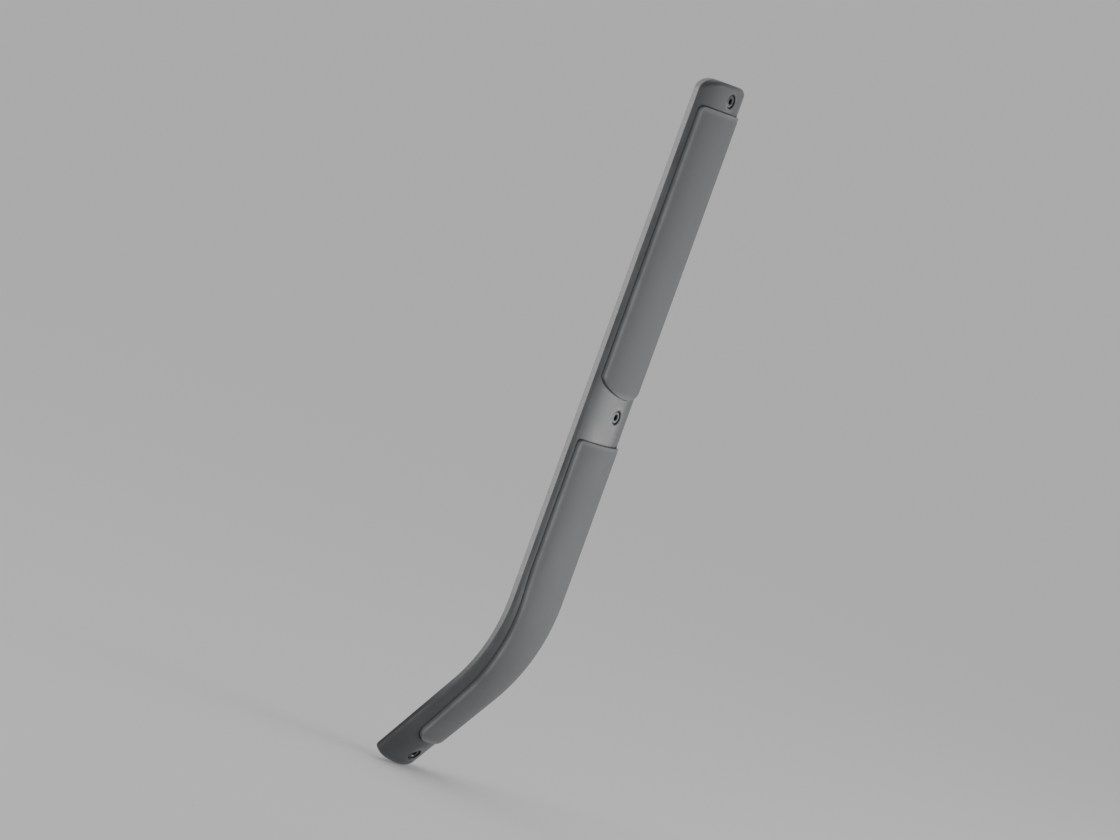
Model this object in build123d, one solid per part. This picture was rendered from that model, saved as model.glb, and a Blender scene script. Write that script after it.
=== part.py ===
from build123d import *
import math
import os

# Side strut of a prosthetic leg, in millimetres. +Z is up along the straight upper part,
# -Y is the outer face that carries the pads and the screws, +Y is the back that is bolted on.
# The origin is where the top screw's axis meets the back face.
# d is the length measured down the back face from the top end.
# A section is drawn as x across the strut and h outwards from the back face.

# Path of the back face
upper_straight = 301.0
bend_radius = 100.0
bend_angle = 33.4
lower_straight = 63.5
bend_length = math.radians(bend_angle) * bend_radius
bend_start = upper_straight
bend_end = bend_start + bend_length
total_length = bend_end + lower_straight

# Section at the top, which holds down to the bend, and at the tip
top_width = 47.0
top_height = 11.5
top_plate = 3.1
tip_width = 43.0
tip_height = 11.2
tip_plate = 1.8
side_land = 0.6
seat_gap = 0.03
top_corner_across = 17.0
top_corner_along = 8.0
tip_corner_across = 9.0
tip_corner_along = 5.0
end_roll = 2.0

# Shell
shell_wall = 2.4
shell_end_wall = 3.0
rib_thickness = 1.6
rib_stations = [36.0, 70.0, 100.0, 126.0, 168.0, 222.0, 262.0, 306.0, 328.0, 350.0, 392.0]

# Pads
pad_raise = 1.5
pad_recess = 0.8
glue_gap = 0.12
pad_width_ratio = 0.894
pad_narrowing_start = 285.0
pad_narrowing_rate = 0.00195
upper_pad_start = 15.2
upper_pad_end = 181.5
upper_pad_corner = 3.0
upper_pad_tongue_radius = 34.0
lower_pad_start = 207.5
lower_pad_end = 400.5
lower_pad_corner = 2.5
lower_pad_tip_corner = 7.0

# Main fasteners: M4 cap screws in steel ferrules
main_stations = {"top": 8.7, "middle": 191.8, "bottom": 412.8}
thread_radius = 2.0
waist_radius = 1.5
head_radius = 3.5
head_height = 4.0
head_sink = 0.7
socket_width = 3.0
socket_depth = 2.2
screw_reach = 7.0
ferrule_radius = 4.5
ferrule_sink = 0.2
ferrule_seat = 0.07
well_radius = 3.75
lock_washer_height = 0.9
lock_washer_radius = 3.5
lock_washer_split = 0.6
lock_washer_split_lean = 25.0
clearance_radius = 2.2
boss_radius = 7.0
retainer_radius = 4.0
retainer_height = 0.8
retainer_bore = 1.6
retainer_gap = 0.05
spotface_radius = 4.2

# Cover fasteners: M3 countersunk screws into brass inserts, from the back
cover_stations = [(50.0, 11.0), (148.0, 11.0), (240.0, 11.0), (288.0, 11.0), (374.0, 8.0)]
cover_shank = 1.5
cover_head = 2.8
cover_sink = 0.15
cover_clearance = 1.7
cover_sink_margin = 0.1
cover_sink_floor = 0.2
cover_end_gap = 0.3
cover_socket = 1.0
cover_socket_depth = 1.2
insert_radius = 2.1
insert_bore = 1.55
insert_length = 3.2
insert_boss = 3.6
insert_start = 0.2

# Working sizes of the modelling itself
loft_step = 10.0
tall = 60.0
overcut = 1.0
seat_overcut = 0.5


def section_plane(d):
    """Plane across the strut at d: its x is the width, its y the outward direction."""
    if d <= bend_start:
        turn = 0.0
    else:
        turn = min(d - bend_start, bend_length) / bend_radius
    past = max(d - bend_end, 0.0)
    before = min(d, bend_start)
    down = Vector(0, math.sin(turn), -math.cos(turn))
    y = bend_radius * (1 - math.cos(turn))
    z = main_stations["top"] - before - bend_radius * math.sin(turn)
    return Plane(origin=Vector(0, y, z) + down * past, x_dir=(1, 0, 0), z_dir=down)


def tapered(d, top_value, tip_value):
    """Value that holds down to the bend and then runs evenly to its value at the tip."""
    share = max(d - bend_start, 0.0) / (total_length - bend_start)
    return top_value + (tip_value - top_value) * share


def half_width(d):
    return tapered(d, top_width, tip_width) / 2


def crown(d):
    return tapered(d, top_height, tip_height)


def plate(d):
    return tapered(d, top_plate, tip_plate)


def crown_radius(d):
    rise = crown(d) - plate(d) - side_land
    return (half_width(d) ** 2 + rise**2) / (2 * rise)


def crown_at(d, x):
    """Height of the crowned outer face above the back face, x away from the middle."""
    radius = crown_radius(d)
    return crown(d) - radius + math.sqrt(radius**2 - x**2)


def outward(d, x=0.0):
    """Plane on the back face at d and x whose z points outwards."""
    here = section_plane(d)
    start = here.from_local_coords(Vector(x, 0, 0))
    return Plane(origin=start, x_dir=(1, 0, 0), z_dir=here.y_dir)


def post(d, x, radius, low, high):
    """Round post square to the back face, from height low to height high."""
    base = outward(d, x) * Pos(0, 0, low)
    return base * extrude(Circle(radius), amount=high - low)


def arched_face(d, half, base, shoulder, top):
    """Section with a flat base, short upright sides and an arched top."""
    lower = Polyline((-half, shoulder), (-half, base), (half, base), (half, shoulder))
    arch = ThreePointArc((half, shoulder), (0, top), (-half, shoulder))
    return section_plane(d) * make_face([lower, arch])


def stations_between(start, end):
    count = max(2, math.ceil((end - start) / loft_step) + 1)
    return [start + (end - start) * i / (count - 1) for i in range(count)]


def along(face_at, start, end):
    """Solid that a section sweeps from start to end: straight above the bend, lofted below."""
    pieces = []
    if start < bend_start:
        stop = min(end, bend_start)
        pieces.append(extrude(face_at(start), amount=stop - start, dir=(0, 0, -1)))
    if end > bend_start:
        places = stations_between(max(start, bend_start), end)
        pieces.append(loft([face_at(d) for d in places]))
    whole = pieces[0]
    for piece in pieces[1:]:
        whole = whole + piece
    return whole


def corner_cutter(d, half, across, along_strut, toward_tip):
    """What lies outside the two elliptic corners of an end at d, seen square to the outer face."""
    sign = -1 if toward_tip else 1
    cutters = []
    for side in (-1, 1):
        here = outward(d)
        centre = Pos(side * (half - across), -sign * along_strut, -tall / 2)
        block = Pos(side * half, 0, 0) * Box(2 * across, 2 * along_strut, tall)
        disc = centre * extrude(Ellipse(across, along_strut), amount=tall)
        cutters.append(here * (block - disc))
    return cutters


def roll_cutter(d, toward_tip):
    """What lies outside the rolled edge between the crown and the end face at d."""
    sign = -1 if toward_tip else 1
    here = outward(d) * Pos(0, 0, crown(d))
    block = Box(tall, 2 * end_roll, 2 * end_roll)
    bar = Pos(0, -sign * end_roll, -end_roll) * Rot(0, 90, 0) * Cylinder(end_roll, tall)
    return here * (block - bar)


def end_cutters():
    tip_half = half_width(total_length - tip_corner_along)
    top = corner_cutter(0, half_width(0), top_corner_across, top_corner_along, False)
    tip = corner_cutter(total_length, tip_half, tip_corner_across, tip_corner_along, True)
    return top + tip


def spine_plate():
    """Load-bearing plate along the whole back; its bare edge shows at the sides."""

    def face_at(d):
        return section_plane(d) * Pos(0, plate(d) / 2) * Rectangle(2 * half_width(d), plate(d))

    body = along(face_at, 0, total_length)
    body -= end_cutters()
    for d in main_stations.values():
        body -= post(d, 0, clearance_radius, -overcut, plate(d) + overcut)
        body -= post(d, 0, spotface_radius, -overcut, retainer_height)
    for d, x in cover_stations:
        for side in (-x, x):
            body -= post(d, side, cover_clearance, -overcut, plate(d) + overcut)
            body -= countersink(d, side, cover_head + cover_sink + cover_sink_margin)
    return body


def countersink(d, x, radius):
    """90 degree cone that opens on the back face at d and x."""
    floor = cover_sink_floor
    cone = Cone(radius, floor, radius - floor, align=(Align.CENTER, Align.CENTER, Align.MIN))
    return outward(d, x) * cone


def shell_solid():
    """Outer form of the shell, filled, with its rounded and rolled ends."""

    def face_at(d):
        seat = plate(d) + seat_gap
        return arched_face(d, half_width(d), seat, plate(d) + side_land, crown(d))

    rolls = [roll_cutter(0, False), roll_cutter(total_length, True)]
    return along(face_at, 0, total_length) - end_cutters() - rolls


def shell_cavity():
    def face_at(d):
        half = half_width(d) - shell_wall
        shoulder = plate(d) + side_land
        return arched_face(d, half, plate(d) - seat_overcut, shoulder, crown(d) - shell_wall)

    start = shell_end_wall
    end = total_length - shell_end_wall
    body = along(face_at, start, end)
    top_half = half_width(start) - shell_wall
    across = top_corner_across - shell_end_wall
    body -= corner_cutter(start, top_half, across, top_corner_along - shell_end_wall, False)
    along_tip = tip_corner_along - shell_end_wall
    tip_half = half_width(end - along_tip) - shell_wall
    body -= corner_cutter(end, tip_half, tip_corner_across - shell_end_wall, along_tip, True)
    return body


def rib(d):
    return section_plane(d) * Box(tall, tall, rib_thickness)


def outer_shell():
    """Moulded cover: crowned, ribbed inside, with bosses for the ferrules and the inserts."""
    cavity = shell_cavity()
    kept = [rib(d) for d in rib_stations]
    kept += [post(d, 0, boss_radius, plate(d), crown(d)) for d in main_stations.values()]
    for d, x in cover_stations:
        kept += [post(d, side, insert_boss, plate(d), crown(d)) for side in (-x, x)]
    for item in kept:
        cavity -= item
    body = shell_solid() - cavity
    body -= upper_pad_form(pad_recess, pad_raise + overcut, 0)
    body -= lower_pad_form(pad_recess, pad_raise + overcut, 0)
    for d in main_stations.values():
        body -= post(d, 0, ferrule_radius, plate(d) - overcut, crown(d) + overcut)
    for d, x in cover_stations:
        for side in (-x, x):
            top = plate(d) + insert_start + insert_length
            body -= post(d, side, insert_radius, plate(d) - overcut, top)
    return body


def pad_half(d):
    ratio = pad_width_ratio - pad_narrowing_rate * max(d - pad_narrowing_start, 0.0)
    return half_width(d) * ratio


def pad_face(d, below, above, inset):
    """Curved band over the crown, from below its surface to above it."""
    half = pad_half(d) - inset
    edge = crown_at(d, half)
    over = ThreePointArc((-half, edge + above), (0, crown(d) + above), (half, edge + above))
    under = ThreePointArc((half, edge - below), (0, crown(d) - below), (-half, edge - below))
    left = Line((-half, edge - below), (-half, edge + above))
    right = Line((half, edge + above), (half, edge - below))
    return section_plane(d) * make_face([over, right, under, left])


def upper_pad_form(below, above, inset):
    """Long straight pad with a tongue-shaped lower end."""

    def face_at(d):
        return pad_face(d, below, above, inset)

    start = upper_pad_start + inset
    end = upper_pad_end - inset
    body = along(face_at, start, end)
    body -= corner_cutter(start, pad_half(start) - inset, upper_pad_corner, upper_pad_corner, False)
    block = outward(end) * Box(2 * top_width, 2 * upper_pad_tongue_radius, tall)
    radius = upper_pad_tongue_radius
    disc = outward(end - radius) * Pos(0, 0, -tall) * extrude(Circle(radius), amount=2 * tall)
    return body - (block - disc)


def lower_pad_form(below, above, inset):
    """Pad that starts square, runs round the bend and narrows to the tip."""

    def face_at(d):
        return pad_face(d, below, above, inset)

    start = lower_pad_start + inset
    end = lower_pad_end - inset
    body = along(face_at, start, end)
    body -= corner_cutter(start, pad_half(start) - inset, lower_pad_corner, lower_pad_corner, False)
    tip_half = pad_half(end - lower_pad_tip_corner) - inset
    body -= corner_cutter(end, tip_half, lower_pad_tip_corner, lower_pad_tip_corner, True)
    return body


def well_floor(d):
    return crown(d) - head_sink - head_height - lock_washer_height


def ferrule(d):
    """Steel bush that carries the screw's clamping force past the shell, with a well for its head."""
    top = crown(d) - ferrule_sink
    body = post(d, 0, ferrule_radius, plate(d) + ferrule_seat, top)
    body -= post(d, 0, well_radius, well_floor(d), top + overcut)
    body -= post(d, 0, clearance_radius, plate(d) - overcut, top)
    return body


def main_screw(d):
    """Captive cap screw: hexagon socket, waisted shank, and a thread that stands out of the back."""
    head_top = crown(d) - head_sink
    head_low = head_top - head_height
    body = post(d, 0, head_radius, head_low, head_top)
    body += post(d, 0, waist_radius, 0, head_low)
    body += post(d, 0, thread_radius, -screw_reach, 0)
    socket = RegularPolygon(socket_width / 2, 6, major_radius=False)
    mouth = outward(d) * Pos(0, 0, head_top - socket_depth)
    return body - mouth * extrude(socket, amount=socket_depth + overcut)


def lock_washer(d):
    """Split spring washer under the screw's head."""
    low = well_floor(d)
    high = low + lock_washer_height
    body = post(d, 0, lock_washer_radius, low, high)
    body -= post(d, 0, clearance_radius, low - overcut, high + overcut)
    slot = outward(d) * Pos(lock_washer_radius, 0, low) * Rot(lock_washer_split_lean, 0, 0)
    return body - slot * Box(2 * lock_washer_radius, lock_washer_split, 4 * lock_washer_height)


def retaining_washer(d):
    """Nylon washer in the plate's spotface that keeps the loosened screw in the strut."""
    body = post(d, 0, retainer_radius, retainer_gap, retainer_height)
    return body - post(d, 0, retainer_bore, -overcut, retainer_height + overcut)


def cover_insert(d, x):
    low = plate(d) + insert_start
    body = post(d, x, insert_radius, low, low + insert_length)
    return body - post(d, x, insert_bore, low - overcut, low + insert_length + overcut)


def cover_screw(d, x):
    head = outward(d, x) * Pos(0, 0, cover_sink) * Cone(
        cover_head, cover_shank, cover_head - cover_shank,
        align=(Align.CENTER, Align.CENTER, Align.MIN),
    )
    top = plate(d) + insert_start + insert_length - cover_end_gap
    body = head + post(d, x, cover_shank, cover_sink, top)
    recess = RegularPolygon(cover_socket, 6, major_radius=False)
    return body - outward(d, x) * extrude(recess, amount=cover_socket_depth)


def save(name, shape):
    export_step(shape, os.path.join("parts", name + ".step"))


def group(maker):
    solids = [maker(d, side) for d, x in cover_stations for side in (-x, x)]
    return Compound(children=solids)


os.makedirs("parts", exist_ok=True)
save("spine_plate", spine_plate())
save("outer_shell", outer_shell())
save("upper_pad", upper_pad_form(pad_recess - glue_gap, pad_raise, glue_gap))
save("lower_pad", lower_pad_form(pad_recess - glue_gap, pad_raise, glue_gap))
for place, station in main_stations.items():
    save(place + "_ferrule", ferrule(station))
    save(place + "_screw", main_screw(station))
    save(place + "_lock_washer", lock_washer(station))
    save(place + "_retaining_washer", retaining_washer(station))
save("cover_inserts", group(cover_insert))
save("cover_screws", group(cover_screw))
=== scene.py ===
import bpy
import math
from mathutils import Matrix, Vector, noise


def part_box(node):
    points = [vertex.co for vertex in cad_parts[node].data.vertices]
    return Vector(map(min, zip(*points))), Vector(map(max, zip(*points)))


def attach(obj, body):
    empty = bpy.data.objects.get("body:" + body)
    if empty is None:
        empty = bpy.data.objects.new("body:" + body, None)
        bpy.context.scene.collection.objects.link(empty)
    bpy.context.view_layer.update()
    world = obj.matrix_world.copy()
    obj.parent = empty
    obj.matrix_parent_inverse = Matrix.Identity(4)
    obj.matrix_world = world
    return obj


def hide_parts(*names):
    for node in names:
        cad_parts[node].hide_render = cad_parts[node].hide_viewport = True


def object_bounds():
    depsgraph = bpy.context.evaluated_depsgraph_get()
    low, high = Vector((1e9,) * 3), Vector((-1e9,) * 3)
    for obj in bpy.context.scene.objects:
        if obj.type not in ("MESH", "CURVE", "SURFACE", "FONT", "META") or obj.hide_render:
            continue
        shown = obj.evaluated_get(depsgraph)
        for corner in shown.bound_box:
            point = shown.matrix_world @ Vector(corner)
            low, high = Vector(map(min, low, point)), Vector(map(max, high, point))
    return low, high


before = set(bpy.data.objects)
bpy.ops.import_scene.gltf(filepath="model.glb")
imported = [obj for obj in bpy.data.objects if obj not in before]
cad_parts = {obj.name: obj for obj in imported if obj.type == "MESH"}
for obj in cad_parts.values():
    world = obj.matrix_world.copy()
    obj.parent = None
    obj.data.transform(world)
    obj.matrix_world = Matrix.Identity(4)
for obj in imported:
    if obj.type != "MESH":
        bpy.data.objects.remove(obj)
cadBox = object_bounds()
print("frame loaded:", len(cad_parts), "nodes")

# lengths are metres; d runs down the back face from the top end, h outwards from that face
strut = {
    "upperStraight": 0.3010,
    "bendRadius": 0.100,
    "bendAngle": 33.4,
    "lowerStraight": 0.0635,
    "topHalf": 0.0235,
    "tipHalf": 0.0215,
    "topCrown": 0.0115,
    "tipCrown": 0.0112,
    "topPlate": 0.0031,
    "tipPlate": 0.0018,
    "sideLand": 0.0006,
    "seatGap": 0.00003,
    "topCorner": (0.0170, 0.0080),
    "tipCorner": (0.0090, 0.0050),
    "roll": 0.0020,
}
mainStations = {"top": 0.0087, "middle": 0.1918, "bottom": 0.4128}
coverStations = [(0.050, 0.011), (0.148, 0.011), (0.240, 0.011), (0.288, 0.011), (0.374, 0.008)]

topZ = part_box("spine_plate")[1].z
bendLength = math.radians(strut["bendAngle"]) * strut["bendRadius"]
bendEnd = strut["upperStraight"] + bendLength
totalLength = bendEnd + strut["lowerStraight"]
crownRise = strut["topCrown"] - strut["topPlate"] - strut["sideLand"]
crownRadius = (strut["topHalf"] ** 2 + crownRise ** 2) / (2 * crownRise)

overcut = 0.001       # cutters start this far outside the face they enter
nearby = 0.00001      # heights closer than this are the same
weldReach = 0.000002  # points closer than this are merged
rimAngle = 40         # degrees between two faces that make a rim
facing = 0.9          # how straight a face looks up or down to count as an end


def stationFrame(d):
    # the point on the back face at d, with the way down and the way out
    turn = min(max(d - strut["upperStraight"], 0.0), bendLength) / strut["bendRadius"]
    past = max(d - bendEnd, 0.0)
    before = min(d, strut["upperStraight"])
    down = Vector((0.0, math.sin(turn), -math.cos(turn)))
    outward = Vector((0.0, -math.cos(turn), -math.sin(turn)))
    point = Vector((0.0, strut["bendRadius"] * (1 - math.cos(turn)),
                    topZ - before - strut["bendRadius"] * math.sin(turn)))
    return point + down * past, down, outward


def tapered(d, topValue, tipValue):
    share = (d - strut["upperStraight"]) / (totalLength - strut["upperStraight"])
    return topValue + (tipValue - topValue) * min(max(share, 0.0), 1.0)


def crownAt(x):
    # height of the crowned face at x, before the taper
    return strut["topCrown"] - crownRadius + math.sqrt(crownRadius ** 2 - x ** 2)


def taperedHeight(d, h):
    plate = tapered(d, strut["topPlate"], strut["tipPlate"])
    crown = tapered(d, strut["topCrown"], strut["tipCrown"])
    if h <= strut["topPlate"]:
        return h * plate / strut["topPlate"]
    rise = (h - strut["topPlate"]) * (crown - plate)
    return plate + rise / (strut["topCrown"] - strut["topPlate"])


def bendToStrut(piece):
    # the bench model is straight: x across, y = -h, z = -d; this lays it on the strut
    for vertex in piece.data.vertices:
        d = -vertex.co.z
        point, _, outward = stationFrame(d)
        x = vertex.co.x * tapered(d, strut["topHalf"], strut["tipHalf"]) / strut["topHalf"]
        vertex.co = point + outward * taperedHeight(d, -vertex.co.y) + Vector((x, 0.0, 0.0))
    piece.data.update()


def stationMatrix(d):
    # local z points outwards from the back face, local y points up the strut
    point, down, outward = stationFrame(d)
    turn = Matrix((Vector((1, 0, 0)), -down, outward)).transposed().to_4x4()
    return Matrix.Translation(point) @ turn


# working helpers

def clearSelection():
    if bpy.context.object and bpy.context.object.mode != "OBJECT":
        bpy.ops.object.mode_set(mode="OBJECT")
    bpy.ops.object.select_all(action="DESELECT")


def makeActive(piece):
    clearSelection()
    piece.select_set(True)
    bpy.context.view_layer.objects.active = piece


def named(name):
    piece = bpy.context.object
    piece.name = name
    piece.data.name = name
    return piece


def settle(piece):
    # puts the object's place into its mesh
    piece.data.transform(piece.matrix_world)
    piece.matrix_world = Matrix.Identity(4)


def editMode(piece, kind):
    makeActive(piece)
    bpy.ops.object.mode_set(mode="EDIT")
    bpy.ops.mesh.select_mode(type=kind)
    bpy.ops.mesh.select_all(action="DESELECT")
    bpy.ops.object.mode_set(mode="OBJECT")


def pickFaces(piece, test):
    editMode(piece, "FACE")
    for face in piece.data.polygons:
        face.select = test(face)
    bpy.ops.object.mode_set(mode="EDIT")


def pickEdges(piece, minAngle, test):
    # picks edges whose two faces meet at more than minAngle degrees
    editMode(piece, "EDGE")
    meets = {}
    for face in piece.data.polygons:
        for key in face.edge_keys:
            meets.setdefault(key, []).append(face.normal.copy())
    limit = math.cos(math.radians(minAngle))
    for edge in piece.data.edges:
        sides = meets.get(edge.key, [])
        if len(sides) == 2 and sides[0].dot(sides[1]) < limit:
            ends = [piece.data.vertices[i].co for i in edge.vertices]
            edge.select = test(ends[0], ends[1])
    bpy.ops.object.mode_set(mode="EDIT")


def endEdit():
    bpy.ops.object.mode_set(mode="OBJECT")


def fixNormals(piece):
    makeActive(piece)
    bpy.ops.object.mode_set(mode="EDIT")
    bpy.ops.mesh.select_all(action="SELECT")
    bpy.ops.mesh.remove_doubles(threshold=weldReach)
    bpy.ops.mesh.normals_make_consistent(inside=False)
    bpy.ops.object.mode_set(mode="OBJECT")


def smooth(piece, angle=32.0):
    makeActive(piece)
    bpy.ops.object.shade_smooth_by_angle(angle=math.radians(angle))


def cutAway(piece, cutter):
    makeActive(piece)
    modifier = piece.modifiers.new("cut", "BOOLEAN")
    modifier.operation = "DIFFERENCE"
    modifier.solver = "EXACT"
    modifier.object = cutter
    bpy.ops.object.modifier_apply(modifier=modifier.name)
    bpy.data.objects.remove(cutter)


def joinAll(pieces, name):
    clearSelection()
    for piece in pieces:
        piece.select_set(True)
    bpy.context.view_layer.objects.active = pieces[0]
    bpy.ops.object.join()
    return named(name)


def benchPost(name, d, x, radius, low, high, sides=48):
    # round bar in the straight bench model, from height low to height high
    clearSelection()
    bpy.ops.mesh.primitive_cylinder_add(vertices=sides, radius=radius, depth=high - low,
                                        location=(x, -(low + high) / 2, -d),
                                        rotation=(math.pi / 2, 0, 0))
    post = named(name)
    settle(post)
    return post


ringValues = {"bendLead": 0.004, "bendStep": 0.003, "leastStep": 0.000001}


def ringPlaces(start, end, values):
    # places along d: even turns of the rolled edge, close near both ends, wider between
    roll, fine, zone = values["roll"], values["fine"], values["zone"]
    turns = values["rollTurns"]
    edge = [roll * (1 - math.cos(math.pi / 2 * k / turns)) for k in range(turns + 1)]
    steps = max(1, round((zone - roll) / fine))
    edge += [roll + (zone - roll) * k / steps for k in range(1, steps + 1)]
    first, last = start + zone, end - zone
    between = []
    here = first
    while here < last - ringValues["leastStep"]:
        inBend = strut["upperStraight"] - ringValues["bendLead"] < here < bendEnd
        here += ringValues["bendStep"] if inBend else values["coarse"]
        between.append(here)
    stretch = (last - first) / (between[-1] - first)
    middle = [first + (place - first) * stretch for place in between[:-1]]
    return [start + e for e in edge] + middle + [end - e for e in reversed(edge)]


def roundCorner(x, fromEnd, half, corner):
    # bends the grid round an elliptic corner, and tells how far the point is from the outline
    acrossRadius, alongRadius = corner
    across = (abs(x) - (half - acrossRadius)) / acrossRadius
    along = (alongRadius - fromEnd) / alongRadius
    if across <= 0 or along <= 0:
        return x, fromEnd, min(fromEnd, half - abs(x))
    if across >= along:
        turn = along / across * math.pi / 4
    else:
        turn = math.pi / 2 - across / along * math.pi / 4
    reach = max(across, along)
    newAcross = half - acrossRadius + acrossRadius * reach * math.cos(turn)
    newFromEnd = alongRadius - alongRadius * reach * math.sin(turn)
    depth = (1 - reach) * (acrossRadius * math.cos(turn) ** 2 + alongRadius * math.sin(turn) ** 2)
    return math.copysign(newAcross, x), newFromEnd, depth


def rolled(height, depth, roll):
    # how high a surface stands where its edge is rolled over
    if depth >= roll or roll <= 0:
        return height
    return height - roll * (1 - math.sqrt(max(1 - ((roll - depth) / roll) ** 2, 0.0)))


def longForm(name, values, topAt, baseAt):
    # closed form along the strut: a crowned sheet, extruded down to its base
    start, end = values["start"], values["end"]
    places = ringPlaces(start, end, values)
    clearSelection()
    bpy.ops.mesh.primitive_grid_add(x_subdivisions=values["columns"],
                                    y_subdivisions=len(places) - 1,
                                    size=1.0, location=(0, 0, 0))
    form = named(name)
    startHalf, endHalf = values["halfAt"](start), values["halfAt"](end)
    tongue = values.get("tongue")
    for vertex in form.data.vertices:
        d = places[round((vertex.co.y + 0.5) * (len(places) - 1))]
        x = vertex.co.x * 2 * values["halfAt"](d)
        x, fromStart, startDepth = roundCorner(x, d - start, startHalf, values["startCorner"])
        d = start + fromStart
        x, fromEnd, endDepth = roundCorner(x, end - d, endHalf, values["endCorner"])
        d = end - fromEnd
        if tongue:
            near = min(max(1 - fromEnd / values["tongueReach"], 0.0), 1.0)
            d -= near * (tongue - math.sqrt(tongue ** 2 - x ** 2))
        high = topAt(x)
        roll = min(values["roll"], (high - baseAt(x)) * values["rollShare"])
        vertex.co = (x, -rolled(high, min(startDepth, endDepth), roll), -d)
    form.data.update()
    makeActive(form)
    bpy.ops.object.mode_set(mode="EDIT")
    bpy.ops.mesh.select_all(action="SELECT")
    bpy.ops.mesh.extrude_region_move(TRANSFORM_OT_translate={"value": (0, overcut, 0)})
    bpy.ops.object.mode_set(mode="OBJECT")
    for vertex in form.data.vertices:  # the lifted sheet becomes the base
        if vertex.select:
            vertex.co.y = -baseAt(vertex.co.x)
    form.data.update()
    fixNormals(form)
    return form


def bevelPicked(width, segments):
    bpy.ops.mesh.bevel(offset=width, segments=segments, profile=0.5, affect="EDGES",
                       clamp_overlap=True)
    endEdit()


def placePiece(piece, nodeNames):
    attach(piece, "root")
    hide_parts(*nodeNames)


# camera, floor and light

studio = {
    "viewAzimuth": -59.0,
    "viewElevation": 3.6,
    "lean": 19.93,
    "distance": 3.0,
    "fieldWidth": 0.6138,
    "sensorWidth": 36.0,
    "clip": (0.1, 600.0),
    "aim": Vector((0.0, 0.012, -0.1936)),
    "aimRight": -0.00877,
    "aimUp": 0.00126,
    "floorDrop": 0.0004,
    "floorSize": 400.0,
    "floorGrey": 0.93,
    "floorRoughness": 0.95,
    "worldGrey": 0.55,
}


def buildCamera():
    azimuth = math.radians(studio["viewAzimuth"])
    elevation = math.radians(studio["viewElevation"])
    lean = math.radians(studio["lean"])
    back = Vector((math.sin(azimuth) * math.cos(elevation),
                   -math.cos(azimuth) * math.cos(elevation),
                   math.sin(elevation)))
    levelRight = Vector((math.cos(azimuth), math.sin(azimuth), 0.0))
    levelUp = back.cross(levelRight)
    right = levelRight * math.cos(lean) + levelUp * math.sin(lean)
    up = levelUp * math.cos(lean) - levelRight * math.sin(lean)
    aim = studio["aim"] + right * studio["aimRight"] + up * studio["aimUp"]
    clearSelection()
    bpy.ops.object.camera_add(location=aim + back * studio["distance"])
    camera = bpy.context.object
    camera.name = "viewCamera"
    camera.rotation_euler = Matrix((right, up, back)).transposed().to_euler()
    camera.data.sensor_width = studio["sensorWidth"]
    camera.data.lens = studio["sensorWidth"] * studio["distance"] / studio["fieldWidth"]
    camera.data.clip_start, camera.data.clip_end = studio["clip"]
    bpy.context.scene.camera = camera
    print("camera set, lens", round(camera.data.lens, 1))


def buildStudio():
    clearSelection()
    bpy.ops.mesh.primitive_plane_add(size=studio["floorSize"],
                                     location=(0, 0, cadBox[0].z - studio["floorDrop"]))
    floor = named("paleFloor")
    grey = studio["floorGrey"]
    material, _, _, shader = newMaterial("floorPaint")
    shader.inputs["Base Color"].default_value = (grey, grey, grey, 1.0)
    shader.inputs["Roughness"].default_value = studio["floorRoughness"]
    shader.inputs["Specular IOR Level"].default_value = 0.0
    floor.data.materials.append(material)
    world = bpy.data.worlds.new("studioWorld")
    world.use_nodes = True
    shade = studio["worldGrey"]
    background = world.node_tree.nodes["Background"]
    background.inputs["Color"].default_value = (shade, shade, shade, 1.0)
    seen = world.node_tree.nodes.new("ShaderNodeBackground")
    far = shade * grey
    seen.inputs["Color"].default_value = (far, far, far, 1.0)  # as bright as the distant floor
    paths = world.node_tree.nodes.new("ShaderNodeLightPath")
    blend = world.node_tree.nodes.new("ShaderNodeMixShader")
    links = world.node_tree.links
    links.new(paths.outputs["Is Camera Ray"], blend.inputs[0])
    links.new(background.outputs[0], blend.inputs[1])
    links.new(seen.outputs[0], blend.inputs[2])
    links.new(blend.outputs[0], world.node_tree.nodes["World Output"].inputs["Surface"])
    bpy.context.scene.world = world


studioLights = {
    "keyRight": {"azimuth": 42.0, "reach": 1.25, "aimZ": -0.275, "size": (1.25, 0.31),
                 "watts": 6.0},
    "lowFront": {"azimuth": 18.0, "reach": 0.75, "aimZ": -0.345, "size": (0.5, 0.10),
                 "watts": 2.8},
    "edgeLeft": {"azimuth": -121.0, "reach": 1.5, "aimZ": -0.02, "size": (0.8, 0.8),
                 "watts": 3.6},
}


def buildLights():
    for name, values in studioLights.items():
        azimuth = math.radians(values["azimuth"])
        reach = values["reach"]
        place = Vector((math.sin(azimuth) * reach, -math.cos(azimuth) * reach, values["aimZ"]))
        clearSelection()
        bpy.ops.object.light_add(type="AREA", location=place)
        light = bpy.context.object
        light.name = name
        light.data.shape = "RECTANGLE"
        light.data.size, light.data.size_y = values["size"]
        light.data.energy = values["watts"]
        light.visible_camera = False
        level = Vector((place.x, place.y, 0.0))
        light.rotation_euler = level.to_track_quat("Z", "Y").to_euler()
    print("lights set:", len(studioLights))


# materials

grainValues = {"broadDetail": 4.0, "broadRough": 0.55, "fineDetail": 2.0, "fineRough": 0.6,
               "tone": (0.3, 0.7), "spread": (0.25, 0.75), "patches": (0.15, 1.0)}


def newMaterial(name):
    material = bpy.data.materials.new(name)
    material.use_nodes = True
    nodes = material.node_tree.nodes
    return material, nodes, material.node_tree.links, nodes["Principled BSDF"]


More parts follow.
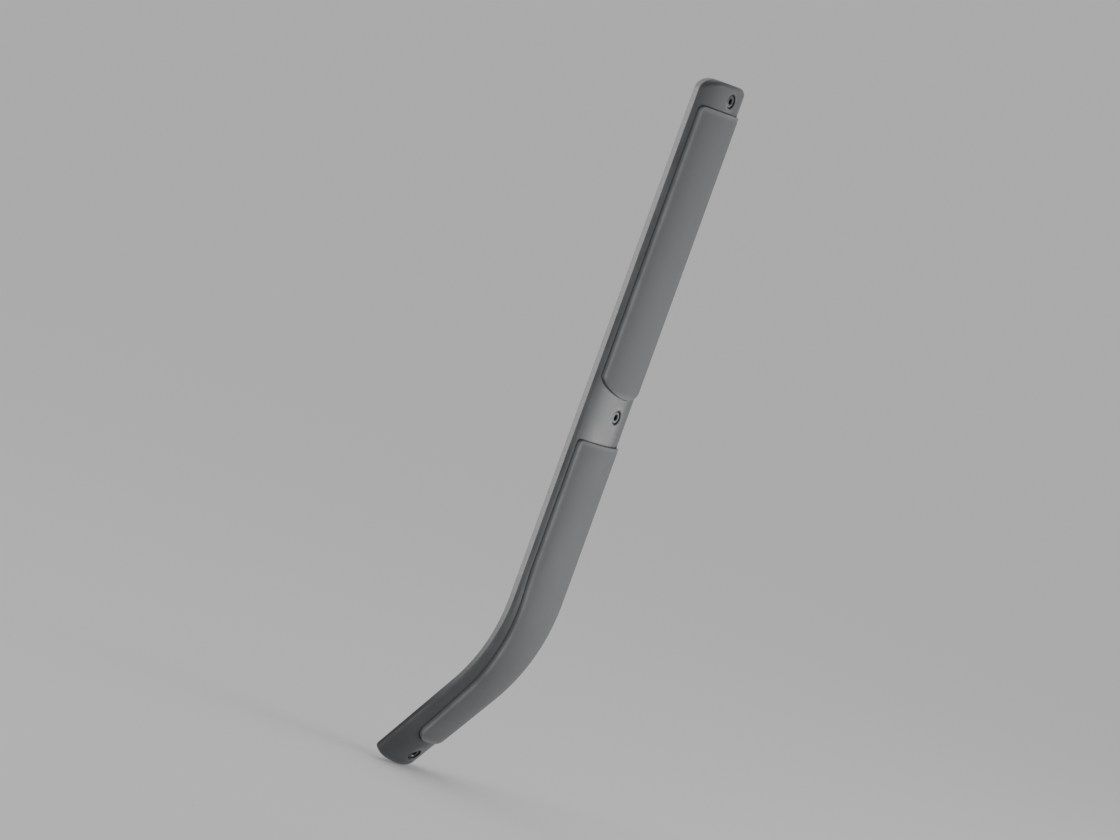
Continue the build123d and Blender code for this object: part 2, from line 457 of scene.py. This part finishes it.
def addGrain(nodes, links, place, scale, detail, rough):
    grain = nodes.new("ShaderNodeTexNoise")
    grain.inputs["Scale"].default_value = scale
    grain.inputs["Detail"].default_value = detail
    grain.inputs["Roughness"].default_value = rough
    links.new(place, grain.inputs["Vector"])
    return grain.outputs["Fac"]


def addRamp(nodes, links, value, lowColour, highColour):
    ramp = nodes.new("ShaderNodeValToRGB")
    ramp.color_ramp.elements[0].position = grainValues["tone"][0]
    ramp.color_ramp.elements[1].position = grainValues["tone"][1]
    ramp.color_ramp.elements[0].color = (*lowColour, 1.0)
    ramp.color_ramp.elements[1].color = (*highColour, 1.0)
    links.new(value, ramp.inputs["Fac"])
    return ramp.outputs["Color"]


def addRange(nodes, links, value, low, high):
    spread = nodes.new("ShaderNodeMapRange")
    spread.inputs["From Min"].default_value = grainValues["spread"][0]
    spread.inputs["From Max"].default_value = grainValues["spread"][1]
    spread.inputs["To Min"].default_value = low
    spread.inputs["To Max"].default_value = high
    links.new(value, spread.inputs["Value"])
    return spread.outputs["Result"]


def grainedMaterial(name, look):
    # two sizes of grain: broad for tone and gloss, fine for the surface's texture
    material, nodes, links, shader = newMaterial(name)
    place = nodes.new("ShaderNodeTexCoord").outputs["Object"]
    broad = addGrain(nodes, links, place, look["broadScale"], grainValues["broadDetail"],
                     grainValues["broadRough"])
    fine = addGrain(nodes, links, place, look["fineScale"], grainValues["fineDetail"],
                    grainValues["fineRough"])
    mixed = nodes.new("ShaderNodeMix")
    mixed.data_type = "FLOAT"
    mixed.inputs["Factor"].default_value = look["fineShare"]
    links.new(broad, mixed.inputs[2])
    links.new(fine, mixed.inputs[3])
    colour = addRamp(nodes, links, mixed.outputs[0], look["dark"], look["light"])
    # the attribute holds wear on shell and pads, and on the plate the bare-edge mask with painted
    # shade towards the tip
    edge = nodes.new("ShaderNodeAttribute")
    edge.attribute_name = "edgeWearAndShade"
    if "bareDark" in look:
        bare = addRamp(nodes, links, mixed.outputs[0], look["bareDark"], look["bareLight"])
        # mixes the coat and the bare metal by that mask; its fade to the coat towards the plate's
        # tip is painted shade
        coatMixWithShade = nodes.new("ShaderNodeMix")
        coatMixWithShade.data_type = "RGBA"
        links.new(edge.outputs["Fac"], coatMixWithShade.inputs[0])
        links.new(colour, coatMixWithShade.inputs[6])
        links.new(bare, coatMixWithShade.inputs[7])
        colour = coatMixWithShade.outputs[2]
    wear = look.get("wear")
    if wear:
        patchy = nodes.new("ShaderNodeMath")
        patchy.operation = "MULTIPLY"
        links.new(edge.outputs["Fac"], patchy.inputs[0])
        links.new(addRange(nodes, links, broad, *grainValues["patches"]), patchy.inputs[1])
        blend = nodes.new("ShaderNodeMix")
        blend.data_type = "RGBA"
        links.new(patchy.outputs[0], blend.inputs[0])
        links.new(colour, blend.inputs[6])
        blend.inputs[7].default_value = (*wear, 1.0)
        colour = blend.outputs[2]
    links.new(colour, shader.inputs["Base Color"])
    gloss = addRange(nodes, links, broad, look["smoothest"], look["roughest"])
    links.new(gloss, shader.inputs["Roughness"])
    shader.inputs["Metallic"].default_value = look.get("metallic", 0.0)
    shader.inputs["Specular IOR Level"].default_value = look.get("specular", 0.5)
    bump = nodes.new("ShaderNodeBump")
    bump.inputs["Strength"].default_value = look["bump"]
    bump.inputs["Distance"].default_value = look["bumpDepth"]
    links.new(fine, bump.inputs["Height"])
    links.new(bump.outputs["Normal"], shader.inputs["Normal"])
    return material


finishes = {
    "shellSatin": {"dark": (0.042, 0.045, 0.048), "light": (0.055, 0.058, 0.061),
                   "wear": (0.16, 0.165, 0.17),
                   "broadScale": 60.0, "fineScale": 2600.0, "fineShare": 0.25, "specular": 0.6,
                   "smoothest": 0.36, "roughest": 0.46, "bump": 0.22, "bumpDepth": 0.00006},
    "padSoft": {"dark": (0.082, 0.086, 0.089), "light": (0.101, 0.105, 0.108),
                "wear": (0.21, 0.22, 0.225),
                "broadScale": 45.0, "fineScale": 3600.0, "fineShare": 0.35, "specular": 0.38,
                "smoothest": 0.58, "roughest": 0.70, "bump": 0.42, "bumpDepth": 0.00008},
    # the plate's dark and light tones show only where its side edges fade towards the tip, as
    # painted shade
    "plateBlasted": {"dark": (0.055, 0.057, 0.060), "light": (0.085, 0.087, 0.090),
                     "bareDark": (0.25, 0.25, 0.25), "bareLight": (0.54, 0.54, 0.54),
                     "metallic": 0.75,
                     "broadScale": 240.0, "fineScale": 3600.0, "fineShare": 0.7,
                     "smoothest": 0.46, "roughest": 0.60, "bump": 0.6, "bumpDepth": 0.0001},
    "ferruleSteel": {"dark": (0.045, 0.046, 0.048), "light": (0.085, 0.086, 0.090), "metallic": 0.9,
                     "broadScale": 700.0, "fineScale": 4200.0, "fineShare": 0.5,
                     "smoothest": 0.30, "roughest": 0.44, "bump": 0.25, "bumpDepth": 0.00004},
    "screwBlack": {"dark": (0.055, 0.056, 0.058), "light": (0.110, 0.112, 0.115), "metallic": 0.85,
                   "broadScale": 900.0, "fineScale": 4800.0, "fineShare": 0.4,
                   "smoothest": 0.34, "roughest": 0.50, "bump": 0.25, "bumpDepth": 0.00004},
    "washerSpring": {"dark": (0.20, 0.20, 0.21), "light": (0.34, 0.34, 0.35), "metallic": 1.0,
                     "broadScale": 800.0, "fineScale": 3000.0, "fineShare": 0.4,
                     "smoothest": 0.35, "roughest": 0.5, "bump": 0.2, "bumpDepth": 0.00004},
    "nylonNatural": {"dark": (0.60, 0.59, 0.55), "light": (0.70, 0.69, 0.65),
                     "broadScale": 500.0, "fineScale": 3000.0, "fineShare": 0.3,
                     "smoothest": 0.42, "roughest": 0.55, "bump": 0.15, "bumpDepth": 0.00004},
    "insertBrass": {"dark": (0.50, 0.36, 0.15), "light": (0.66, 0.49, 0.22), "metallic": 1.0,
                    "broadScale": 700.0, "fineScale": 3000.0, "fineShare": 0.4,
                    "smoothest": 0.26, "roughest": 0.42, "bump": 0.2, "bumpDepth": 0.00004},
    "coverScrewZinc": {"dark": (0.34, 0.35, 0.37), "light": (0.50, 0.51, 0.53), "metallic": 1.0,
                       "broadScale": 800.0, "fineScale": 3400.0, "fineShare": 0.4,
                       "smoothest": 0.26, "roughest": 0.42, "bump": 0.2, "bumpDepth": 0.00004},
}
materials = {}


def finishPiece(piece, finishName):
    if finishName not in materials:
        materials[finishName] = grainedMaterial(finishName, finishes[finishName])
    piece.data.materials.clear()
    piece.data.materials.append(materials[finishName])


def markWearAndShade(piece, wearAndShadeAt):
    # stores how worn each point is, and on the plate how bare its side edges are, with painted
    # shade towards the tip; the finish reads it by the attribute's name
    layer = piece.data.attributes.new("edgeWearAndShade", "FLOAT", "POINT")
    for index, vertex in enumerate(piece.data.vertices):
        layer.data[index].value = wearAndShadeAt(vertex.co)


def bareEdgeWithTipShade(point):
    # the side edges are bare metal on the straight part and fade to the dark coat towards the tip;
    # that fade is painted shade, the darkening of the edge along the bend
    inside = strut["topHalf"] - abs(point.x) > plateValues["edgeReach"]
    past = (-point.z - plateValues["tipShadeFrom"]) / plateValues["tipShadeLength"]
    return 1.0 if inside else 1.0 - min(max(past, 0.0), 1.0)


# the plate

plateValues = {"columns": 48, "backEase": 0.00022, "frontEase": 0.00012, "backSteps": 3,
               "throughRadius": 0.0022, "seatRadius": 0.0042, "seatDepth": 0.0008,
               "coverHole": 0.0017, "holeSides": 32, "holeTop": 0.005,
               "sinkRadius": 0.00305, "sinkOver": 0.0002, "sinkSides": 40, "tipLean": 0.0008,
               # where the painted shade on the side edges starts, and over what length it darkens
               # them
               "tipShadeFrom": 0.285, "tipShadeLength": 0.100, "edgeReach": 0.0016}
outlineSteps = {"fine": 0.0009, "coarse": 0.006, "zone": 0.012, "rollShare": 0.8}
rollTurns = 8


def outlineValues(start, end, half, corners, columns, roll):
    values = dict(outlineSteps)
    values.update(start=start, end=end, halfAt=lambda d: half, columns=columns, roll=roll,
                  startCorner=corners[0], endCorner=corners[1],
                  rollTurns=rollTurns if roll else 1)
    return values


def buildPlate():
    corners = (strut["topCorner"], strut["tipCorner"])
    values = outlineValues(0.0, totalLength, strut["topHalf"], corners, plateValues["columns"], 0.0)
    plate = longForm("spinePlate", values, lambda x: strut["topPlate"], lambda x: 0.0)
    slantTipSides(plate)
    pickEdges(plate, rimAngle, lambda a, b: max(-a.y, -b.y) < nearby)
    bevelPicked(plateValues["backEase"], plateValues["backSteps"])
    pickEdges(plate, rimAngle, lambda a, b: min(-a.y, -b.y) > strut["topPlate"] - nearby)
    bevelPicked(plateValues["frontEase"], 1)
    cutters = []
    holeTop = plateValues["holeTop"]
    for d in mainStations.values():
        cutters.append(benchPost("through", d, 0, plateValues["throughRadius"], -overcut, holeTop))
        scale = strut["topPlate"] / tapered(d, strut["topPlate"], strut["tipPlate"])
        cutters.append(benchPost("seat", d, 0, plateValues["seatRadius"], -overcut,
                                 plateValues["seatDepth"] * scale))
    for d, x in coverStations:
        for side in (-x, x):
            cutters.append(benchPost("coverHole", d, side, plateValues["coverHole"], -overcut,
                                     holeTop, plateValues["holeSides"]))
            cutters.append(benchSink(d, side))
    for cutter in cutters:
        cutAway(plate, cutter)
    fixNormals(plate)
    # the side edges darken towards the tip as painted shade
    markWearAndShade(plate, bareEdgeWithTipShade)
    bendToStrut(plate)
    smooth(plate)
    finishPiece(plate, "plateBlasted")
    placePiece(plate, ["spine_plate"])
    print("plate built:", len(plate.data.polygons), "faces")


def slantTipSides(plate):
    # the sides lean in towards the back along the bend, so the bare edge thins out
    for vertex in plate.data.vertices:
        if -vertex.co.y < nearby:
            lean = tapered(-vertex.co.z, 0.0, plateValues["tipLean"])
            vertex.co.x *= 1 - lean / strut["topHalf"]
    plate.data.update()


def benchSink(d, x):
    # countersink: as deep as it is wide, and a little proud of the back
    over = plateValues["sinkOver"]
    size = plateValues["sinkRadius"] + over
    clearSelection()
    bpy.ops.mesh.primitive_cone_add(vertices=plateValues["sinkSides"], radius1=size, radius2=0.0,
                                    depth=size, location=(x, over - size / 2, -d),
                                    rotation=(math.pi / 2, 0, 0))
    sink = named("sink")
    settle(sink)
    return sink


# the shell

shellValues = {"columns": 64, "rimEase": 0.00048, "rimSteps": 4, "rimAbove": 0.0003,
               "rimAngle": 25, "seatEase": 0.00012, "wall": 0.0024, "endWall": 0.003,
               "cavityColumns": 24, "postTop": 0.014, "seatSides": 64,
               "bossRadius": 0.007, "bossSides": 40, "insertBoss": 0.0036, "insertBossSides": 28,
               "insertRadius": 0.0021, "insertReach": 0.0034, "insertSides": 32,
               "ribs": [0.036, 0.070, 0.100, 0.126, 0.168, 0.222, 0.262, 0.306, 0.328, 0.350,
                        0.392],
               "ribThickness": 0.0016, "ribMiddle": 0.008, "ribWidth": 0.06, "ribHeight": 0.02}
shellRub = {"endReach": 0.0030, "sideReach": 0.0012, "seatReach": 0.0007, "seatAbove": 0.001,
            "ends": 0.7, "sides": 0.6, "seats": 0.8}


def shellWear(point):
    # rubbed on its rolled ends, along its lower edges and round the screws
    x, h, d = point.x, -point.y, -point.z
    ends = max(0.0, 1 - min(d, totalLength - d) / shellRub["endReach"])
    sides = max(0.0, 1 - (strut["topHalf"] - abs(x)) / shellRub["sideReach"])
    fromScrew = min(math.hypot(x, d - station) for station in mainStations.values())
    rimGap = abs(fromScrew - ferruleValues["radius"])
    outside = h > strut["topPlate"] + shellRub["seatAbove"]
    seats = max(0.0, 1 - rimGap / shellRub["seatReach"]) if outside else 0.0
    rubbed = shellRub["ends"] * ends + shellRub["sides"] * sides + shellRub["seats"] * seats
    return min(1.0, rubbed)


def buildShell():
    seat = strut["topPlate"] + strut["seatGap"]
    corners = (strut["topCorner"], strut["tipCorner"])
    values = outlineValues(0.0, totalLength, strut["topHalf"], corners, shellValues["columns"],
                           strut["roll"])
    shell = longForm("outerShell", values, crownAt, lambda x: seat)
    aboveSeat = seat + shellValues["rimAbove"]
    pickEdges(shell, shellValues["rimAngle"], lambda a, b: min(-a.y, -b.y) > aboveSeat)
    bevelPicked(shellValues["rimEase"], shellValues["rimSteps"])
    pickEdges(shell, rimAngle, lambda a, b: max(-a.y, -b.y) < seat + nearby)
    bevelPicked(shellValues["seatEase"], 1)
    print("shell outside:", len(shell.data.polygons), "faces")
    cutAway(shell, shellCavity(seat))
    for d in mainStations.values():
        cutAway(shell, benchPost("ferruleSeat", d, 0, ferruleValues["radius"], seat - overcut,
                                 shellValues["postTop"], shellValues["seatSides"]))
    insertTop = seat + shellValues["insertReach"]
    for d, x in coverStations:
        for side in (-x, x):
            cutAway(shell, benchPost("insertSeat", d, side, shellValues["insertRadius"],
                                     seat - overcut, insertTop, shellValues["insertSides"]))
    for padName in padForms:
        cutAway(shell, padRecess(padName))
    fixNormals(shell)
    markWearAndShade(shell, shellWear)
    bendToStrut(shell)
    smooth(shell)
    finishPiece(shell, "shellSatin")
    placePiece(shell, ["outer_shell"])
    print("shell built:", len(shell.data.polygons), "faces")


def shellCavity(seat):
    wall, endWall = shellValues["wall"], shellValues["endWall"]
    half = strut["topHalf"] - wall
    corners = [(across - endWall, along - endWall)
               for across, along in (strut["topCorner"], strut["tipCorner"])]
    values = outlineValues(endWall, totalLength - endWall, half, corners,
                           shellValues["cavityColumns"], 0.0)
    cavity = longForm("cavity", values, lambda x: crownAt(x) - wall, lambda x: seat - overcut)
    low, high = seat - 2 * overcut, shellValues["postTop"]
    kept = [benchPost("boss", d, 0, shellValues["bossRadius"], low, high, shellValues["bossSides"])
            for d in mainStations.values()]
    for d, x in coverStations:
        for side in (-x, x):
            kept.append(benchPost("boss", d, side, shellValues["insertBoss"], low, high,
                                  shellValues["insertBossSides"]))
    ribSize = (shellValues["ribWidth"], shellValues["ribHeight"], shellValues["ribThickness"])
    for d in shellValues["ribs"]:
        clearSelection()
        bpy.ops.mesh.primitive_cube_add(size=1.0, location=(0, -shellValues["ribMiddle"], -d),
                                        scale=ribSize)
        rib = named("rib")
        settle(rib)
        kept.append(rib)
    cutAway(cavity, joinAll(kept, "kept"))
    return cavity


# the pads

padForms = {
    "upperPad": {"start": 0.0152, "end": 0.1815, "startGap": 0.00055, "zone": 0.008,
                 "startCorner": (0.0032, 0.0032), "endCorner": (0.0045, 0.0045),
                 "tongue": 0.034, "tongueReach": 0.020, "node": "upper_pad"},
    "lowerPad": {"start": 0.2075, "end": 0.4005, "startGap": 0.0010, "zone": 0.009,
                 "startCorner": (0.0026, 0.0026), "endCorner": (0.0070, 0.0070),
                 "node": "lower_pad"},
}
padSteps = {"columns": 48, "fine": 0.0008, "coarse": 0.004, "roll": 0.0, "rollTurns": 1,
            "rollShare": 0.0}
padValues = {"raise": 0.0015, "recess": 0.0008, "recessTop": 0.004, "gap": 0.00045,
             "widthRatio": 0.894, "narrowFrom": 0.285, "narrowRate": 1.95,
             "rimEase": 0.0012, "rimSteps": 6, "footEase": 0.00012, "footGap": 0.00012,
             "swell": 0.00018, "sideRise": 0.006, "endRise": 0.010,
             "dimple": 0.00005, "dimpleSize": 0.022, "dimplePlace": 0.7, "fill": 0.9}
padRub = {"edgeReach": 0.0024, "endReach": 0.004, "edges": 1.6, "ends": 0.9}


def padHalf(d):
    narrowed = padValues["narrowRate"] * max(d - padValues["narrowFrom"], 0.0)
    return strut["topHalf"] * (padValues["widthRatio"] - narrowed)


def padOutline(name, inset, startInset):
    values = dict(padForms[name], **padSteps)
    values["start"] += startInset
    values["end"] -= inset
    values["halfAt"] = lambda d: padHalf(d) - inset
    return values


def padRecess(name):
    return longForm("recess", padOutline(name, 0.0, 0.0),
                    lambda x: crownAt(x) + padValues["recessTop"],
                    lambda x: crownAt(x) - padValues["recess"])


def padWear(point):
    # rubbed along its raised edges, most at the two ends
    x, h, d = point.x, -point.y, -point.z
    edge = max(0.0, 1 - (padHalf(d) - abs(x)) / padRub["edgeReach"])
    fromEnd = min(min(abs(d - form["start"]), abs(d - form["end"])) for form in padForms.values())
    end = max(0.0, 1 - fromEnd / padRub["endReach"])
    raised = min(max((h - crownAt(x)) / padValues["raise"], 0.0), 1.0)
    return raised * min(1.0, padRub["edges"] * edge + padRub["ends"] * end)


def swellPad(pad, start, end):
    # a soft moulding is never flat: it swells slightly between its edges, with faint dimples
    for vertex in pad.data.vertices:
        x, h, d = vertex.co.x, -vertex.co.y, -vertex.co.z
        if h < crownAt(x) + padValues["raise"] * 0.5:
            continue
        side = min(max((padHalf(d) - abs(x)) / padValues["sideRise"], 0.0), 1.0)
        ends = min(max(min(d - start, end - d) / padValues["endRise"], 0.0), 1.0)
        share = math.sin(side * math.pi / 2) * math.sin(ends * math.pi / 2)
        spot = Vector((x, d, padValues["dimplePlace"])) / padValues["dimpleSize"]
        vertex.co.y -= share * (padValues["swell"] + padValues["dimple"] * noise.noise(spot))
    pad.data.update()


def buildPads():
    foot = padValues["footGap"] - padValues["recess"]
    middle = (padValues["raise"] + foot) / 2

    def aboveMiddle(point):
        return -point.y > crownAt(point.x) + middle

    def belowMiddle(point):
        return -point.y < crownAt(point.x) + middle

    for name, form in padForms.items():
        pad = longForm(name, padOutline(name, padValues["gap"], form["startGap"]),
                       lambda x: crownAt(x) + padValues["raise"], lambda x: crownAt(x) + foot)
        pickEdges(pad, rimAngle, lambda a, b: aboveMiddle(a) and aboveMiddle(b))
        bevelPicked(padValues["rimEase"], padValues["rimSteps"])
        pickEdges(pad, rimAngle, lambda a, b: belowMiddle(a) and belowMiddle(b))
        bevelPicked(padValues["footEase"], 1)
        fixNormals(pad)
        swellPad(pad, form["start"], form["end"])
        markWearAndShade(pad, padWear)
        bendToStrut(pad)
        smooth(pad, rimAngle)
        finishPiece(pad, "padSoft")
        placePiece(pad, [form["node"]])
        print(name, "built:", len(pad.data.polygons), "faces")


# ferrules and main screws

ferruleValues = {"radius": 0.0045, "wellRadius": 0.00375, "boreRadius": 0.0022, "sink": 0.0002,
                 "seat": 0.00007, "mouthEase": 0.00028, "mouthSteps": 3}
screwValues = {"headRadius": 0.0035, "headHeight": 0.004, "headSink": 0.0007,
               "headEase": 0.0004, "headSteps": 4, "washerHeight": 0.0009,
               "socketWidth": 0.003, "socketDepth": 0.0022,
               "mouthRadius": 0.00195, "mouthOver": 0.0005, "mouthSides": 64,
               "waistRadius": 0.0015, "threadRadius": 0.002, "threadReach": 0.007,
               "threadPitch": 0.0007, "threadDepth": 0.00036, "threadLead": 0.0008,
               "threadRings": 80, "threadSides": 40}


def stationHeights(d):
    crown = tapered(d, strut["topCrown"], strut["tipCrown"])
    plate = tapered(d, strut["topPlate"], strut["tipPlate"])
    headTop = crown - screwValues["headSink"]
    headLow = headTop - screwValues["headHeight"]
    return plate, crown, headTop, headLow


def addCylinder(name, radius, low, high, sides=64):
    clearSelection()
    bpy.ops.mesh.primitive_cylinder_add(vertices=sides, radius=radius, depth=high - low,
                                        location=(0, 0, (low + high) / 2))
    piece = named(name)
    settle(piece)
    return piece


def buildFerrules():
    for name, d in mainStations.items():
        plate, crown, _, headLow = stationHeights(d)
        top = crown - ferruleValues["sink"]
        ferrule = addCylinder(name + "Ferrule", ferruleValues["radius"],
                              plate + ferruleValues["seat"], top)
        pickFaces(ferrule, lambda face: face.normal.z > facing)
        bpy.ops.mesh.inset(thickness=ferruleValues["radius"] - ferruleValues["wellRadius"])
        floor = headLow - screwValues["washerHeight"]
        bpy.ops.mesh.extrude_region_move(TRANSFORM_OT_translate={"value": (0, 0, floor - top)})
        bpy.ops.mesh.inset(thickness=ferruleValues["wellRadius"] - ferruleValues["boreRadius"])
        endEdit()
        pickFaces(ferrule, lambda face: face.normal.z < -facing)
        bpy.ops.mesh.inset(thickness=ferruleValues["radius"] - ferruleValues["boreRadius"])
        endEdit()
        pickFaces(ferrule, lambda face: abs(face.normal.z) > facing and len(face.vertices) > 4)
        bpy.ops.mesh.bridge_edge_loops()  # the two round ends of the bore
        endEdit()
        pickEdges(ferrule, rimAngle, lambda a, b: min(a.z, b.z) > top - nearby)
        bevelPicked(ferruleValues["mouthEase"], ferruleValues["mouthSteps"])
        fixNormals(ferrule)
        ferrule.data.transform(stationMatrix(d))
        smooth(ferrule)
        finishPiece(ferrule, "ferruleSteel")
        placePiece(ferrule, [name + "_ferrule"])
    print("ferrules built")


def buildScrews():
    values = screwValues
    over = values["mouthOver"]
    mouthSize = values["mouthRadius"] + over
    for name, d in mainStations.items():
        _, _, headTop, headLow = stationHeights(d)
        screw = addCylinder(name + "Screw", values["headRadius"], headLow, headTop)
        pickEdges(screw, rimAngle, lambda a, b: min(a.z, b.z) > headTop - nearby)
        bevelPicked(values["headEase"], values["headSteps"])
        pickFaces(screw, lambda face: face.normal.z < -facing)
        bpy.ops.mesh.inset(thickness=values["headRadius"] - values["waistRadius"])
        bpy.ops.mesh.extrude_region_move(TRANSFORM_OT_translate={"value": (0, 0, -headLow)})
        endEdit()
        hexagon = addCylinder("hexagon", values["socketWidth"] / 2 / math.cos(math.pi / 6),
                              headTop - values["socketDepth"], headTop + overcut, 6)
        cutAway(screw, hexagon)
        clearSelection()
        bpy.ops.mesh.primitive_cone_add(vertices=values["mouthSides"], radius1=0.0,
                                        radius2=mouthSize, depth=mouthSize,
                                        location=(0, 0, headTop + over - mouthSize / 2))
        mouth = named("mouth")
        settle(mouth)
        cutAway(screw, mouth)
        thread = buildThread()
        screw = joinAll([screw, thread], name + "Screw")
        fixNormals(screw)
        screw.data.transform(stationMatrix(d))
        smooth(screw)
        finishPiece(screw, "screwBlack")
        placePiece(screw, [name + "_screw"])
    print("screws built")


def buildThread():
    # the thread is a real helix, cut into a finely ringed bar
    values = screwValues
    thread = addCylinder("thread", values["threadRadius"], -values["threadReach"], 0.0,
                         values["threadSides"])
    editMode(thread, "EDGE")
    for edge in thread.data.edges:
        ends = [thread.data.vertices[i].co for i in edge.vertices]
        edge.select = abs(ends[0].z - ends[1].z) > nearby
    bpy.ops.object.mode_set(mode="EDIT")
    bpy.ops.mesh.subdivide(number_cuts=values["threadRings"])
    endEdit()
    for vertex in thread.data.vertices:
        z = vertex.co.z
        turn = math.atan2(vertex.co.y, vertex.co.x) / (2 * math.pi)
        phase = (z / values["threadPitch"] - turn) % 1.0
        groove = 1 - abs(2 * phase - 1)
        lead = min(1.0, (z + values["threadReach"]) / values["threadLead"])
        depth = values["threadDepth"] * (groove if lead >= 1 else 1 - (1 - groove) * lead)
        radius = values["threadRadius"] - depth
        spot = Vector((vertex.co.x, vertex.co.y)).normalized() * radius
        vertex.co.x, vertex.co.y = spot.x, spot.y
    thread.data.update()
    return thread


# the pieces that keep their CAD shape

nodeFinishes = {"cover_inserts": "insertBrass", "cover_screws": "coverScrewZinc"}
for stationName in mainStations:
    nodeFinishes[stationName + "_lock_washer"] = "washerSpring"
    nodeFinishes[stationName + "_retaining_washer"] = "nylonNatural"


def finishNodes():
    for nodeName, finishName in nodeFinishes.items():
        finishPiece(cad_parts[nodeName], finishName)
    print("CAD nodes finished:", len(nodeFinishes))


buildCamera()
buildStudio()
buildLights()
buildPlate()
buildShell()
buildPads()
buildFerrules()
buildScrews()
finishNodes()
clearSelection()
